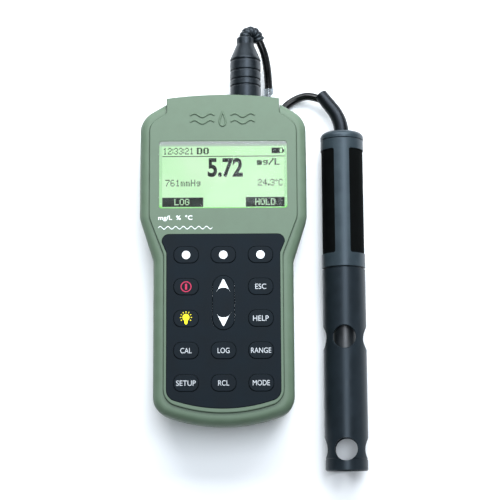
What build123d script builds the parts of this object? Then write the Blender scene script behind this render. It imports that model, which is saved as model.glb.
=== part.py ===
from build123d import *
from math import cos, pi, radians, sin, tan
import os

os.makedirs("parts", exist_ok=True)

# Handheld dissolved-oxygen meter with its plug, cable and probe, lying on a table.
# Frame: origin on the meter's rest face, +Z up through the display, +Y to the connector end.

# ---------------------------------------------------------------- driving dimensions, mm
meter_length = 185.0
head_half = 46.5
grip_half = 38.8
meter_height = 34.6
head_back = 9.5
rim_top = 33.4
rim_round = 4.8
back_round = 5.0
bulge_round = 3.5
wall = 2.4
panel_thickness = 3.4
panel_gap = 0.25

flare_low = -1.5
flare_high = 22.5
recess_floor_y = 79.5
shoulder_y = 88.1
shoulder_side_y = 79.4
tab_half = 31.6
tab_under = 28.8

window_half_x = 35.7
window_low_y = 27.6
window_high_y = 65.9
lcd_half_x = 34.2
lcd_low_y = 29.1
lcd_high_y = 64.0

key_size = (13.6, 9.1)
key_corner = 4.2
key_gap = 0.2
key_columns = (-20.5, 0.0, 20.5)
key_rows = (1.3, -16.4, -34.0, -51.6, -69.3)
key_top = 34.95
key_travel = 0.8
rocker_size = (12.0, 30.0)
rocker_y = -25.3
mat_top = 34.7
mat_depth = 1.6

plug_x = 12.65
plug_z = 19.5
plug_face_y = 82.2
plug_radius = 8.8
plug_groove_ys = (100.5, 104.3, 109.5, 115.5)

cable_diameter = 4.6
cable_radius = cable_diameter / 2

probe_x = 67.7
probe_z = 12.4
probe_top_y = 74.8
joint_y = -4.5
probe_end_y = -116.7
cap_radius = 12.4
handle_radius = 12.2
sleeve_radius = 12.1
sleeve_bore = 10.3
shaft_radius = 7.3
hole_radius = 6.3
hole_ys = (-43.1, -104.8)
grip_top_y = 64.2
grip_low_y = 4.3
probe_roll = 5.0

# ---------------------------------------------------------------- derived values
meter_top_y = meter_length / 2
meter_low_y = -meter_length / 2
panel_under = meter_height - panel_thickness
ledge_low = panel_under - 3.8
window_mid_y = (window_low_y + window_high_y) / 2
window_size = (2 * window_half_x, window_high_y - window_low_y)
lcd_mid_y = (lcd_low_y + lcd_high_y) / 2
lcd_size = (2 * lcd_half_x, lcd_high_y - lcd_low_y)
mat_low = meter_height - mat_depth
probe_axis = Axis((probe_x, 0, probe_z), (0, 1, 0))


def finish(node, label):
    """Label a sub-part and write its STEP file."""
    node.part.label = label
    export_step(node.part, f"parts/{label}.step")


def outline(points, low_y, height, corner=None):
    """Sketch a shape with mirror symmetry: an arc for its foot, then the points up its right side."""
    first = points[0]
    with BuildSketch(Plane.XY.offset(height)) as sketch:
        with BuildLine():
            ThreePointArc((-first[0], first[1]), (0, low_y), first)
            right = Polyline(*points)
            mirror(right, about=Plane.YZ)
            Line(points[-1], (-points[-1][0], points[-1][1]))
        make_face()
        for radius, wanted in corner or []:
            found = [v for v in sketch.vertices() if any(
                abs(abs(v.X) - x) < 0.01 and abs(v.Y - y) < 0.01 for x, y in wanted)]
            fillet(found, radius=radius)
    return sketch.sketch


case_points = [
    (grip_half, meter_low_y + 8.6),
    (grip_half, flare_low),
    (head_half, flare_high),
    (head_half, shoulder_side_y),
    (32.0, shoulder_y),
]
case_corners = [
    (11, [case_points[0]]),
    (9, [case_points[1], case_points[2]]),
    (13, [case_points[3]]),
]
panel_points = [
    (32.9, -78.9),
    (32.9, 1.5),
    (41.0, 22.5),
    (41.0, 75.6),
    (tab_half, 82.0),
    (tab_half, 90.4),
]
panel_corners = [
    (9, [panel_points[0]]),
    (8, [panel_points[1], panel_points[2]]),
    (8, [panel_points[3]]),
    (0.8, [panel_points[4]]),
]
bulge_points = [
    (34.6, -80.0),
    (34.6, 38.0),
]
mat_points = [
    (31.3, -77.2),
    (31.3, 2.5),
    (33.9, 8.6),
    (33.9, 13.0),
]
mat_corners = [
    (6, [mat_points[0]]),
    (4, [mat_points[3]]),
]


def case_face(height, grow=0.0):
    """Outline of the case seen from the front, grown or shrunk all round."""
    face = outline(case_points, meter_low_y, height, case_corners)
    return offset(face, amount=grow, mode=Mode.PRIVATE) if grow else face


def panel_face(height, grow=0.0):
    """Outline of the front panel, with the tab that covers the connectors."""
    face = outline(panel_points, -85.5, height, panel_corners)
    with BuildSketch(Plane.XY.offset(height)) as crown:
        with BuildLine():
            ThreePointArc((-tab_half, 90.4), (0, meter_top_y), (tab_half, 90.4))
            Line((tab_half, 90.4), (-tab_half, 90.4))
        make_face()
    face = face + crown.sketch
    return offset(face, amount=grow, mode=Mode.PRIVATE) if grow else face


def mat_face(height, grow=0.0):
    """Outline of the keypad mat."""
    face = outline(mat_points, -83.1, height, mat_corners)
    return offset(face, amount=grow, mode=Mode.PRIVATE) if grow else face


def bulge_face(height, grow=0.0):
    """Outline of the battery bulge that the meter rests on."""
    face = outline(bulge_points, -87.0, height, [(9, bulge_points)])
    return offset(face, amount=grow, mode=Mode.PRIVATE) if grow else face


# ---------------------------------------------------------------- keys
keys = {
    "soft_key_left": (key_columns[0], key_rows[0]),
    "soft_key_middle": (key_columns[1], key_rows[0]),
    "soft_key_right": (key_columns[2], key_rows[0]),
    "power_key": (key_columns[0], key_rows[1]),
    "escape_key": (key_columns[2], key_rows[1]),
    "light_key": (key_columns[0], key_rows[2]),
    "help_key": (key_columns[2], key_rows[2]),
    "calibrate_key": (key_columns[0], key_rows[3]),
    "log_key": (key_columns[1], key_rows[3]),
    "range_key": (key_columns[2], key_rows[3]),
    "setup_key": (key_columns[0], key_rows[4]),
    "recall_key": (key_columns[1], key_rows[4]),
    "mode_key": (key_columns[2], key_rows[4]),
}
key_flange_top = panel_under - 0.1
key_flange_low = key_flange_top - 1.0


def key_openings(height, grow=key_gap):
    """Outlines of the openings that the keys and the rocker stand in."""
    with BuildSketch(Plane.XY.offset(height)) as openings:
        with Locations(*keys.values()):
            RectangleRounded(key_size[0] + 2 * grow, key_size[1] + 2 * grow, key_corner)
        with Locations((0, rocker_y)):
            SlotOverall(rocker_size[1] + 2 * grow, rocker_size[0] + 2 * grow, rotation=90)
    return openings.sketch


for key_name, key_place in keys.items():
    with BuildPart() as key:
        with BuildSketch(Plane.XY.offset(key_flange_low)):
            with Locations(key_place):
                RectangleRounded(key_size[0] + 1.2, key_size[1] + 1.2, key_corner)
        extrude(amount=key_flange_top - key_flange_low)
        with BuildSketch(Plane.XY.offset(key_flange_top)):
            with Locations(key_place):
                RectangleRounded(key_size[0], key_size[1], key_corner)
        extrude(amount=key_top - key_flange_top)
        fillet(key.faces().sort_by(Axis.Z)[-1].edges(), radius=0.4)
    finish(key, key_name)

with BuildPart() as arrow_rocker:
    with BuildSketch(Plane.XY.offset(key_flange_low + 0.4)):
        with Locations((0, rocker_y)):
            SlotOverall(rocker_size[1], rocker_size[0], rotation=90)
    extrude(amount=key_top - key_flange_low - 0.4)
    fillet(arrow_rocker.faces().sort_by(Axis.Z)[-1].edges(), radius=0.5)
finish(arrow_rocker, "arrow_rocker")

with BuildPart() as keypad_membrane:
    extrude(mat_face(mat_low), amount=mat_top - mat_low)
    extrude(key_openings(mat_low), amount=mat_top - mat_low, mode=Mode.SUBTRACT)
    fillet(keypad_membrane.faces().sort_by(Axis.Z)[-1].outer_wire().edges(), radius=0.4)
finish(keypad_membrane, "keypad_membrane")

# ---------------------------------------------------------------- screws and their posts
head_screws = [(-34.0, 72.0), (34.0, 72.0)]
grip_screws = [(-31.0, 20.0), (31.0, 20.0), (0.0, -80.5)]
screw_shank = 1.25
screw_head = 2.7
screw_head_height = 2.2
screw_tip = panel_under + 0.6
post_radius = 3.5
counterbore_depth = 3.0
door_screws = [(-20.0, -73.9), (20.0, -73.9)]

# ---------------------------------------------------------------- front shell
with BuildPart() as front_shell:
    extrude(panel_face(panel_under), amount=panel_thickness)
    fillet(front_shell.faces().sort_by(Axis.Z)[-1].outer_wire().edges(), radius=0.6)
    with BuildSketch(Plane.XY.offset(tab_under)):
        with BuildLine():
            Polyline((-tab_half, 90.4), (-tab_half, recess_floor_y + 0.4),
                     (tab_half, recess_floor_y + 0.4), (tab_half, 90.4))
            ThreePointArc((-tab_half, 90.4), (0, meter_top_y), (tab_half, 90.4))
        make_face()
    extrude(amount=panel_under - tab_under)
    with BuildSketch(Plane.XY.offset(panel_under)):
        with Locations((0, window_mid_y)):
            RectangleRounded(*window_size, 1.6)
    extrude(amount=panel_thickness, mode=Mode.SUBTRACT)
    extrude(mat_face(mat_low, 0.15), amount=mat_depth, mode=Mode.SUBTRACT)
    extrude(key_openings(panel_under), amount=mat_low - panel_under, mode=Mode.SUBTRACT)
    with BuildSketch(Plane.XY.offset(ledge_low)):
        with Locations(*head_screws, *grip_screws):
            Circle(post_radius - 0.5)
    extrude(amount=panel_under - ledge_low)
    with BuildSketch(Plane.XY.offset(ledge_low)):
        with Locations(*head_screws, *grip_screws):
            Circle(screw_shank + 0.05)
    extrude(amount=screw_tip + 0.3 - ledge_low, mode=Mode.SUBTRACT)
finish(front_shell, "front_shell")

# ---------------------------------------------------------------- rear shell
gasket_depth = 0.5
door_step = 1.4
seal_depth = 0.6
door_size = (64.0, 62.5)
door_mid_y = -45.25
bay_size = (60.0, 54.0)
bay_mid_y = -43.4
usb_x = -13.0
socket_radius = 6.2



def gasket_face():
    """Ring between the front panel and the ledge that it rests on."""
    with BuildSketch(Plane.XY.offset(panel_under)) as ring:
        add(panel_face(panel_under, -0.3))
        add(panel_face(panel_under, -1.3), mode=Mode.SUBTRACT)
        with Locations((0, recess_floor_y + 17)):
            Rectangle(120, 40, mode=Mode.SUBTRACT)
    return ring.sketch


def seal_face():
    """Ring round the battery opening."""
    with BuildSketch(Plane.XY.offset(door_step)) as ring:
        with Locations((0, bay_mid_y)):
            RectangleRounded(bay_size[0] + 2.4, bay_size[1] + 2.2, 2.5)
            RectangleRounded(bay_size[0] + 0.8, bay_size[1] + 0.8, 2, mode=Mode.SUBTRACT)
    return ring.sketch


with BuildPart() as rear_shell:
    extrude(case_face(head_back), amount=rim_top - head_back)
    fillet(rear_shell.faces().sort_by(Axis.Z)[-1].edges(), radius=rim_round)
    fillet(rear_shell.faces().sort_by(Axis.Z)[0].edges(), radius=back_round)
    extrude(bulge_face(0), amount=head_back + 1)
    fillet(rear_shell.faces().sort_by(Axis.Z)[0].edges(), radius=bulge_round)
    # hollow inside, with a ledge under the front panel
    with BuildSketch(Plane.XY.offset(head_back + wall)):
        add(case_face(head_back + wall, -2.6))
        with Locations((0, recess_floor_y + 18)):
            Rectangle(120, 41, mode=Mode.SUBTRACT)
    extrude(amount=ledge_low - head_back - wall, mode=Mode.SUBTRACT)
    extrude(bulge_face(wall, -wall), amount=head_back, mode=Mode.SUBTRACT)
    with BuildSketch(Plane.XY.offset(ledge_low)):
        add(panel_face(ledge_low, -1.6))
        with Locations((0, recess_floor_y + 18)):
            Rectangle(120, 41, mode=Mode.SUBTRACT)
    extrude(amount=panel_under - ledge_low, mode=Mode.SUBTRACT)
    extrude(gasket_face(), amount=-gasket_depth, mode=Mode.SUBTRACT)
    extrude(panel_face(panel_under, panel_gap), amount=panel_thickness + 1, mode=Mode.SUBTRACT)
    # open bay between the shoulders, where the plug stands
    with BuildSketch(Plane.XY.offset(-1)):
        with Locations((0, recess_floor_y + 10)):
            Rectangle(2 * (tab_half + 0.3), 20)
    extrude(amount=40, mode=Mode.SUBTRACT)
    # screw posts
    with BuildSketch(Plane.XY.offset(head_back + 1)):
        with Locations(*head_screws):
            Circle(post_radius)
    extrude(amount=ledge_low - head_back - 1)
    with BuildSketch(Plane.XY.offset(wall / 2)):
        with Locations(*grip_screws):
            Circle(post_radius)
    extrude(amount=ledge_low - wall / 2)
    with Locations(*[(x, y, head_back) for x, y in head_screws], *[(x, y, 0) for x, y in grip_screws]):
        Cylinder(screw_shank + 0.15, 80, mode=Mode.SUBTRACT)
        Cylinder(screw_head + 0.3, 2 * counterbore_depth, mode=Mode.SUBTRACT)
    with BuildSketch(Plane.XY.offset(wall / 2)):
        with Locations(*door_screws):
            Circle(2.2)
    extrude(amount=8)
    # battery opening, with a step for its door and a groove for the seal
    with BuildSketch():
        with Locations((0, door_mid_y)):
            RectangleRounded(door_size[0] + 0.3, door_size[1] + 0.3, 4)
    extrude(amount=door_step, mode=Mode.SUBTRACT)
    extrude(seal_face(), amount=seal_depth, mode=Mode.SUBTRACT)
    with BuildSketch(Plane.XY.offset(1)):
        with Locations((0, bay_mid_y)):
            RectangleRounded(*bay_size, 2)
    extrude(amount=3, mode=Mode.SUBTRACT)
    with Locations(*[(x, y, 0) for x, y in door_screws]):
        Cylinder(1.05, 14, mode=Mode.SUBTRACT)
    # holes in the end wall for the probe socket and the port
    with BuildSketch(Plane.XZ.offset(-recess_floor_y - 1)):
        with Locations((plug_x, plug_z)):
            Circle(socket_radius + 0.1)
        with Locations((usb_x, plug_z)):
            RectangleRounded(9.4, 4.0, 1.2)
    extrude(amount=6, mode=Mode.SUBTRACT)
finish(rear_shell, "rear_shell")

with BuildPart() as case_gasket:
    extrude(gasket_face(), amount=-gasket_depth)
finish(case_gasket, "case_gasket")

with BuildPart() as case_screws:
    for places, head_z in ((head_screws, head_back), (grip_screws, 0)):
        seat = head_z + counterbore_depth
        with BuildSketch(Plane.XY.offset(seat)):
            with Locations(*places):
                Circle(screw_shank)
        extrude(amount=screw_tip - seat)
        with BuildSketch(Plane.XY.offset(seat)):
            with Locations(*places):
                Circle(screw_head)
        extrude(amount=-screw_head_height)
        with BuildSketch(Plane.XY.offset(seat - screw_head_height)):
            with Locations(*places):
                Rectangle(3.2, 0.7)
                Rectangle(0.7, 3.2)
        extrude(amount=1.2, mode=Mode.SUBTRACT)
finish(case_screws, "case_screws")

# ---------------------------------------------------------------- display
window_top = meter_height - 0.9
window_flange = 1.0
frame_top = panel_under - window_flange
frame_low = frame_top - 1.6
lcd_low = frame_low - 1.5
backlight_low = lcd_low - 3.4
board_thickness = 1.6
flange_size = (window_size[0] + 3.0, window_size[1] + 3.0)

with BuildPart() as display_window:
    with BuildSketch(Plane.XY.offset(frame_top)):
        with Locations((0, window_mid_y)):
            RectangleRounded(*flange_size, 2)
    extrude(amount=window_flange)
    with BuildSketch(Plane.XY.offset(panel_under)):
        with Locations((0, window_mid_y)):
            RectangleRounded(window_size[0] - 0.2, window_size[1] - 0.2, 1.5)
    extrude(amount=window_top - panel_under)
finish(display_window, "display_window")

with BuildPart() as lcd_frame:
    with BuildSketch(Plane.XY.offset(frame_low)):
        with Locations((0, window_mid_y)):
            RectangleRounded(*flange_size, 2)
    extrude(amount=frame_top - frame_low)
    with BuildSketch(Plane.XY.offset(frame_low)):
        with Locations((0, lcd_mid_y)):
            Rectangle(*lcd_size)
    with BuildSketch(Plane.XY.offset(frame_top)):
        with Locations((0, window_mid_y)):
            Rectangle(window_size[0] - 0.2, window_size[1] - 0.2)
    loft(mode=Mode.SUBTRACT)
finish(lcd_frame, "lcd_frame")

with BuildPart() as lcd_panel:
    with BuildSketch(Plane.XY.offset(lcd_low)):
        with Locations((0, window_mid_y)):
            Rectangle(flange_size[0] - 1, flange_size[1] - 1)
    extrude(amount=frame_low - lcd_low)
finish(lcd_panel, "lcd_panel")

with BuildPart() as lcd_backlight:
    with BuildSketch(Plane.XY.offset(backlight_low)):
        with Locations((0, window_mid_y)):
            RectangleRounded(flange_size[0] - 1, flange_size[1] - 1, 1)
    extrude(amount=lcd_low - backlight_low)
finish(lcd_backlight, "lcd_backlight")

with BuildPart() as main_board:
    with BuildSketch(Plane.XY.offset(backlight_low - board_thickness)):
        with Locations((0, window_mid_y)):
            RectangleRounded(flange_size[0] - 2, flange_size[1] + 1, 2)
    extrude(amount=board_thickness)
    with BuildSketch(Plane.XY.offset(backlight_low - board_thickness)):
        with Locations((-12, window_mid_y + 6), (14, window_mid_y - 4)):
            Rectangle(10, 10)
        with Locations((4, window_mid_y + 12)):
            Rectangle(8, 5)
    extrude(amount=-1.2)
finish(main_board, "main_board")

# ---------------------------------------------------------------- key board and domes
dome_height = 0.25
board_top = key_flange_low - key_travel - 0.1 - dome_height

with BuildPart() as key_board:
    with BuildSketch(Plane.XY.offset(board_top - 0.2)):
        with Locations((0, -30.2)):
            RectangleRounded(59.0, 86.0, 3)
    extrude(amount=-board_thickness)
finish(key_board, "key_board")

with BuildPart() as dome_sheet:
    with BuildSketch(Plane.XY.offset(board_top - 0.2)):
        with Locations((0, -30.2)):
            RectangleRounded(59.0, 86.0, 3)
    extrude(amount=0.2)
    with BuildSketch(Plane.XY.offset(board_top)):
        with Locations(*keys.values(), (0, key_rows[1]), (0, key_rows[2])):
            Circle(3.5)
    extrude(amount=dome_height, taper=30)
finish(dome_sheet, "dome_sheet")

# ---------------------------------------------------------------- batteries
cell_radius = 7.15
cell_length = 49.3
cell_pitch = 14.8
cell_z = wall + 0.5 + cell_radius
cell_low_y = bay_mid_y - cell_length / 2 - 0.4
cell_columns = [(index - 1.5) * cell_pitch for index in range(4)]
tray_wall = 1.2
tray_top = cell_z + cell_radius + 0.5
contact_thickness = 0.4

with BuildPart() as batteries:
    with BuildSketch(Plane.XZ.offset(-cell_low_y)):
        with Locations(*[(x, cell_z) for x in cell_columns]):
            Circle(cell_radius)
    extrude(amount=-cell_length)
    with BuildSketch(Plane.XZ.offset(-cell_low_y - cell_length)):
        with Locations(*[(x, cell_z) for x in cell_columns]):
            Circle(2.7)
    extrude(amount=-1.1)
finish(batteries, "batteries")

with BuildPart() as battery_tray:
    with BuildSketch(Plane.XY.offset(wall)):
        with Locations((0, bay_mid_y)):
            RectangleRounded(bay_size[0] + 2 * tray_wall, bay_size[1] + 2 * tray_wall, 2.5)
    extrude(amount=tray_top + tray_wall - wall)
    with BuildSketch(Plane.XY.offset(wall)):
        with Locations((0, bay_mid_y)):
            RectangleRounded(*bay_size, 2)
    extrude(amount=tray_top - wall, mode=Mode.SUBTRACT)
finish(battery_tray, "battery_tray")

with BuildPart() as battery_contacts:
    for end_y in (bay_mid_y - bay_size[1] / 2, bay_mid_y + bay_size[1] / 2 - contact_thickness):
        with BuildSketch(Plane.XZ.offset(-end_y)):
            with Locations(*[(x, cell_z) for x in cell_columns]):
                RectangleRounded(9.0, 9.0, 1.0)
        extrude(amount=-contact_thickness)
finish(battery_contacts, "battery_contacts")

with BuildPart() as battery_door:
    with BuildSketch():
        with Locations((0, door_mid_y)):
            RectangleRounded(*door_size, 3.85)
    extrude(amount=1.35)
    with BuildSketch(Plane.XY.offset(1.35)):
        with Locations((0, bay_mid_y)):
            RectangleRounded(bay_size[0] - 0.4, bay_size[1] - 0.4, 1.8)
    extrude(amount=1.2)
    with BuildSketch():
        with Locations((0, door_mid_y + door_size[1] / 2 - 8)):
            SlotOverall(22, 4)
    extrude(amount=0.6, mode=Mode.SUBTRACT)
    with Locations(*[(x, y, 0) for x, y in door_screws]):
        Cylinder(1.4, 8, mode=Mode.SUBTRACT)
        Cylinder(2.3, 1.6, mode=Mode.SUBTRACT)
finish(battery_door, "battery_door")

with BuildPart() as battery_door_seal:
    extrude(seal_face(), amount=seal_depth - 0.02)
finish(battery_door_seal, "battery_door_seal")

with BuildPart() as battery_door_screws:
    with BuildSketch(Plane.XY.offset(0.75)):
        with Locations(*door_screws):
            Circle(1.0)
    extrude(amount=5.5)
    with BuildSketch(Plane.XY.offset(0.75)):
        with Locations(*door_screws):
            Circle(2.1)
    extrude(amount=-0.7)
    with BuildSketch(Plane.XY.offset(0.05)):
        with Locations(*door_screws):
            Rectangle(2.8, 0.6)
    extrude(amount=0.4, mode=Mode.SUBTRACT)
finish(battery_door_screws, "battery_door_screws")

# ---------------------------------------------------------------- probe socket in the end wall
socket_bore = 5.55
socket_inner_y = 68.6
socket_face_y = plug_face_y - 0.6
washer_thickness = 0.5
core_radius = 4.6
pin_radius = 0.5
pin_circle = 3.1
plug_shell_radius = 5.5
plug_shell_bore = 4.85
plug_nose_y = 73.5


def tube(outer, inner, low_y, high_y, x=plug_x, z=plug_z):
    """Ring or, with no inner radius, disc along Y between two heights."""
    with BuildPart() as ring:
        with BuildSketch(Plane.XZ.offset(-low_y)):
            with Locations((x, z)):
                Circle(outer)
                if inner:
                    Circle(inner, mode=Mode.SUBTRACT)
        extrude(amount=low_y - high_y)
    return ring.part


def pin_places(x=plug_x, z=plug_z):
    """Centre pin and a ring of six round it."""
    ring = [(x + pin_circle * cos(radians(60 * i)), z + pin_circle * sin(radians(60 * i))) for i in range(6)]
    return [(x, z)] + ring


with BuildPart() as probe_socket:
    add(tube(socket_radius, socket_bore, socket_inner_y, recess_floor_y + washer_thickness))
    add(tube(8.5, socket_bore, recess_floor_y + washer_thickness, socket_face_y))
    fillet(probe_socket.faces().sort_by(Axis.Y)[-1].outer_wire().edges(), radius=0.5)
finish(probe_socket, "probe_socket")

with BuildPart() as socket_washer:
    add(tube(8.3, socket_radius + 0.05, recess_floor_y, recess_floor_y + washer_thickness))
finish(socket_washer, "socket_washer")

with BuildPart() as socket_nut:
    add(tube(7.6, socket_radius + 0.05, recess_floor_y - 5.1, recess_floor_y - 2.6))
finish(socket_nut, "socket_nut")

with BuildPart() as socket_core:
    add(tube(socket_bore - 0.05, 0, socket_inner_y, socket_inner_y + 2.4))
    add(tube(core_radius, 0, socket_inner_y + 2.4, recess_floor_y - 0.5))
    with BuildSketch(Plane.XZ.offset(-socket_inner_y)):
        with Locations(*pin_places()):
            Circle(pin_radius + 0.2)
    extrude(amount=-12, mode=Mode.SUBTRACT)
finish(socket_core, "socket_core")

with BuildPart() as socket_contacts:
    with BuildSketch(Plane.XZ.offset(-socket_inner_y)):
        with Locations(*pin_places()):
            Circle(pin_radius + 0.1)
    extrude(amount=-4)
finish(socket_contacts, "socket_contacts")

# ---------------------------------------------------------------- port and its cover
with BuildPart() as usb_port:
    with BuildSketch(Plane.XZ.offset(-recess_floor_y + 0.2)):
        with Locations((usb_x, plug_z)):
            RectangleRounded(8.8, 3.4, 1.0)
            RectangleRounded(8.0, 2.6, 0.7, mode=Mode.SUBTRACT)
    extrude(amount=6.5)
    with BuildSketch(Plane.XZ.offset(-recess_floor_y + 5)):
        with Locations((usb_x, plug_z)):
            Rectangle(8.4, 3.0)
    extrude(amount=1)
finish(usb_port, "usb_port")

usb_hinge = (usb_x - 7.6, recess_floor_y + 1.5)

with BuildPart() as usb_cover:
    with BuildSketch(Plane.XZ.offset(-recess_floor_y - 0.2)):
        with Locations((usb_x, plug_z)):
            RectangleRounded(13.4, 8.4, 2.2)
    extrude(amount=-2)
    fillet(usb_cover.faces().sort_by(Axis.Y)[-1].edges(), radius=0.6)
    with BuildSketch(Plane.XY.offset(plug_z - 3)):
        with Locations(usb_hinge):
            Circle(1.1)
    extrude(amount=6)
finish(usb_cover, "usb_cover")

# ---------------------------------------------------------------- plug
neck_radius = 5.0
neck_y = 125.8
neck_end_y = 129.8
cone_y = 116.8
groove_depth = 0.7
groove_half = 0.45
plug_axis = Axis((plug_x, 0, plug_z), (0, 1, 0))
plug_plane = Plane(origin=(plug_x, 0, plug_z), x_dir=(1, 0, 0), z_dir=(0, 0, 1))

with BuildPart() as plug_boot:
    with BuildSketch(plug_plane):
        with BuildLine():
            Polyline((plug_shell_radius + 0.02, plug_face_y), (plug_radius, plug_face_y),
                     (plug_radius, cone_y), (neck_radius, neck_y), (neck_radius, neck_end_y), (0, neck_end_y),
                     (0, plug_face_y + 10), (plug_shell_radius + 0.02, plug_face_y + 10), close=True)
        make_face()
        for groove_y in plug_groove_ys:
            with Locations((plug_radius, groove_y)):
                Rectangle(2 * groove_depth, 2 * groove_half, mode=Mode.SUBTRACT)
    revolve(axis=plug_axis)
    rims = plug_boot.edges().filter_by(GeomType.CIRCLE).filter_by(
        lambda edge: abs(edge.radius - plug_radius) < 0.01)
    fillet(rims, radius=0.4)
    fillet(plug_boot.faces().sort_by(Axis.Y)[-1].edges(), radius=0.7)
finish(plug_boot, "plug_boot")

with BuildPart() as plug_shell:
    add(tube(plug_shell_radius, plug_shell_bore, plug_nose_y, plug_face_y + 9.9))
    chamfer(plug_shell.faces().sort_by(Axis.Y)[0].outer_wire().edges(), length=0.3)
finish(plug_shell, "plug_shell")

with BuildPart() as plug_insert:
    add(tube(plug_shell_bore - 0.02, 0, recess_floor_y, plug_face_y + 9.9))
    with BuildSketch(Plane.XZ.offset(-recess_floor_y)):
        with Locations(*pin_places()):
            Circle(pin_radius)
    extrude(amount=-4, mode=Mode.SUBTRACT)
finish(plug_insert, "plug_insert")

with BuildPart() as plug_pins:
    with BuildSketch(Plane.XZ.offset(-recess_floor_y + 4)):
        with Locations(*pin_places()):
            Circle(pin_radius)
    extrude(amount=-8)
finish(plug_pins, "plug_pins")

# bent, ribbed relief: a tight bend over the top of the plug, leaning down to the table
relief_bend = 4.0
relief_turn = 150.0
relief_lean = 25.0
relief_core = 3.1
relief_rib = 3.6
rib_count = 5
rib_angle = 17.0
collar_length = 3.4
collar_rib = (1.0, 2.2)
lean_side = Vector(cos(radians(relief_lean)), 0, -sin(radians(relief_lean)))
relief_start = Vector(plug_x, neck_end_y, plug_z)
relief_centre = relief_start + lean_side * relief_bend
relief_axis = Axis(relief_centre, lean_side.cross(Vector(0, 1, 0)) * -1)
relief_pitch = (relief_turn - rib_angle) / rib_count


def relief_point(turn, bend=relief_bend):
    """Point on the relief's centre line after a turn in degrees."""
    along = lean_side * (-bend * cos(radians(turn)))
    return relief_centre + along + Vector(0, 1, 0) * (bend * sin(radians(turn)))


def relief_heading(turn):
    """Direction of the relief's centre line after a turn in degrees."""
    return lean_side * sin(radians(turn)) + Vector(0, 1, 0) * cos(radians(turn))


def relief_sector(radius, first, turn):
    """Length of the bent relief between two turns."""
    plane = Plane(origin=relief_point(first), z_dir=relief_heading(first))
    with BuildPart() as sector:
        with BuildSketch(plane):
            Circle(radius)
        revolve(axis=relief_axis, revolution_arc=turn)
    return sector.part


cable_start = relief_point(relief_turn)
cable_heading = relief_heading(relief_turn)
with BuildPart() as plug_strain_relief:
    add(relief_sector(relief_core, 0, relief_turn))
    for rib in range(rib_count):
        add(relief_sector(relief_rib, relief_pitch * (rib + 1) - rib_angle / 2, rib_angle))
    # straight collar over the cable's first few millimetres
    for radius, low, high in ((relief_core, 0, collar_length), (relief_rib, *collar_rib)):
        with BuildSketch(Plane(origin=cable_start + cable_heading * low, z_dir=cable_heading)):
            Circle(radius)
            Circle(cable_radius, mode=Mode.SUBTRACT)
        extrude(amount=high - low)
finish(plug_strain_relief, "plug_strain_relief")

# ---------------------------------------------------------------- probe strain relief
boot_bend = 26.0
boot_turn = 37.0
boot_straight = 11.5
boot_lean = 14.5
boot_root_radius = 4.25
boot_tip_radius = 3.7
boot_side = Vector(-cos(radians(boot_lean)), 0, -sin(radians(boot_lean)))
boot_root = Vector(probe_x, probe_top_y - 0.5, probe_z)
boot_heading = boot_side * sin(radians(boot_turn)) + Vector(0, 1, 0) * cos(radians(boot_turn))
boot_bend_end = (boot_root + boot_side * (boot_bend * (1 - cos(radians(boot_turn))))
                 + Vector(0, 1, 0) * (boot_bend * sin(radians(boot_turn))))
boot_tip = boot_bend_end + boot_heading * boot_straight

# ---------------------------------------------------------------- cable
# The first point is the plug's relief, the last is inside the mouth of the probe's relief.
floor_z = cable_radius
first_run = 7.0
cable_route = [
    cable_start,
    cable_start + cable_heading * first_run,
    Vector(25.0, 117.5, 11.6),
    Vector(26.2, 106.0, 6.4),
    Vector(26.4, 93.0, 2.9),
    Vector(18.2, 82.6, floor_z),
    Vector(8.6, 75.0, floor_z),
    Vector(4.1, 64.2, floor_z),
    Vector(7.5, 52.2, floor_z),
    Vector(18.5, 45.6, floor_z),
    Vector(31.0, 48.3, floor_z),
    Vector(38.2, 58.5, floor_z),
    Vector(36.7, 70.4, floor_z),
    Vector(31.1, 81.0, floor_z),
    Vector(34.0, 92.6, floor_z),
    Vector(42.9, 98.6, 3.6),
    Vector(51.6, 99.2, 7.0),
    Vector(60.4, 93.9, 9.9),
]
run_share = 0.45


def corner_radii(route):
    """Radius of the arc at each inner point: as large as the two runs that meet there allow."""
    radii = []
    for before, here, after in zip(route, route[1:], route[2:]):
        turn = (here - before).get_angle(after - here)
        shorter = min((here - before).length, (after - here).length)
        radii.append(run_share * shorter / tan(radians(turn) / 2))
    return radii


cable_radii = corner_radii(cable_route)
with BuildPart() as probe_cable:
    with BuildLine() as cable_path:
        FilletPolyline(*cable_route, radius=cable_radii)
    with BuildSketch(Plane(origin=cable_route[0], z_dir=cable_route[1] - cable_route[0])):
        Circle(cable_radius)
    sweep(path=cable_path.line)
finish(probe_cable, "probe_cable")
cable_length = sum(edge.length for edge in cable_path.edges())
straight_volume = pi * cable_radius ** 2 * cable_length
print("cable radii", [round(radius, 1) for radius in cable_radii])
print("cable length", round(cable_length, 1))
print("cable volume over section times length", round(probe_cable.part.volume / straight_volume, 4))

with BuildPart() as probe_strain_relief:
    with BuildLine() as boot_path:
        boot_arc = TangentArc(boot_root, boot_bend_end, tangent=(0, 1, 0))
        Line(boot_arc @ 1, boot_tip)
    with BuildSketch(Plane(origin=boot_root, z_dir=(0, 1, 0))):
        Circle(boot_root_radius)
    with BuildSketch(Plane(origin=boot_tip, z_dir=boot_heading)):
        Circle(boot_tip_radius)
    sweep(path=boot_path.line, multisection=True)
    tip_face = probe_strain_relief.faces().sort_by_distance(boot_tip)[0]
    fillet(tip_face.edges(), radius=1.0)
    add(probe_cable.part, mode=Mode.SUBTRACT)
finish(probe_strain_relief, "probe_strain_relief")

marker_length = 7.0
marker_radius = 2.9
marker_bore = 2.5
marker_start = cable_route[3] + (cable_route[4] - cable_route[3]) * 0.18

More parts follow.
